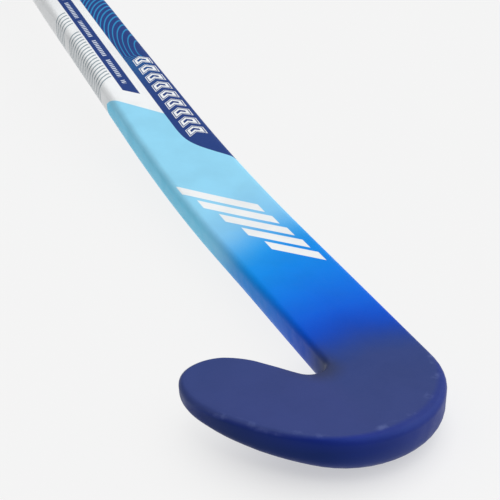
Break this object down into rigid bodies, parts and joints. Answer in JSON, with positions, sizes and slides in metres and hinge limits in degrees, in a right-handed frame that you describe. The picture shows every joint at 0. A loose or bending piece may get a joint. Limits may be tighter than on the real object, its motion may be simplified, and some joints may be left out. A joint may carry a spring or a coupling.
{
  "type": "field hockey stick",
  "caption": "Composite field hockey stick: flat striking face, hooked head, bowed shaft and a wrapped round grip with a rubber end cap.",
  "frame": {"origin": "on the striking face, on the shaft's centre line, 50 mm above the lowest point of the head", "axes": "+Z out of the flat striking face, +Y along the shaft from head to butt, -X towards the toe"},
  "size_m": [0.1153, 0.9246, 0.1161],
  "materials": {
    "lacquered_skin": "satin lacquer over printed composite, indigo at the head fading through royal and sky blue to white",
    "carbon_ply": "cured carbon cloth",
    "aramid_ply": "cured aramid cloth",
    "core_foam": "rigid foam",
    "damping_foam": "soft closed-cell foam",
    "plug_wood": "light turned wood",
    "cap_rubber": "matte moulded rubber",
    "underlay_tape": "double-sided cloth tape",
    "grip_wrap": "cushioned synthetic leather, perforated, wound in a spiral",
    "vinyl_tape": "stretched vinyl tape"
  },
  "bodies": {
    "root": {"outer_skin": "lacquered_skin", "face_ply": "carbon_ply", "edge_ply": "aramid_ply", "head_core": "core_foam", "face_spar_ply": "carbon_ply", "back_spar_ply": "carbon_ply", "centre_web": "carbon_ply", "toe_side_tube": "carbon_ply", "heel_side_tube": "carbon_ply", "toe_side_foam": "damping_foam", "heel_side_foam": "damping_foam", "butt_plug": "plug_wood", "end_cap": "cap_rubber", "grip_underlay": "underlay_tape", "grip": "grip_wrap", "finishing_tape": "vinyl_tape"}
  },
  "joints": []
}
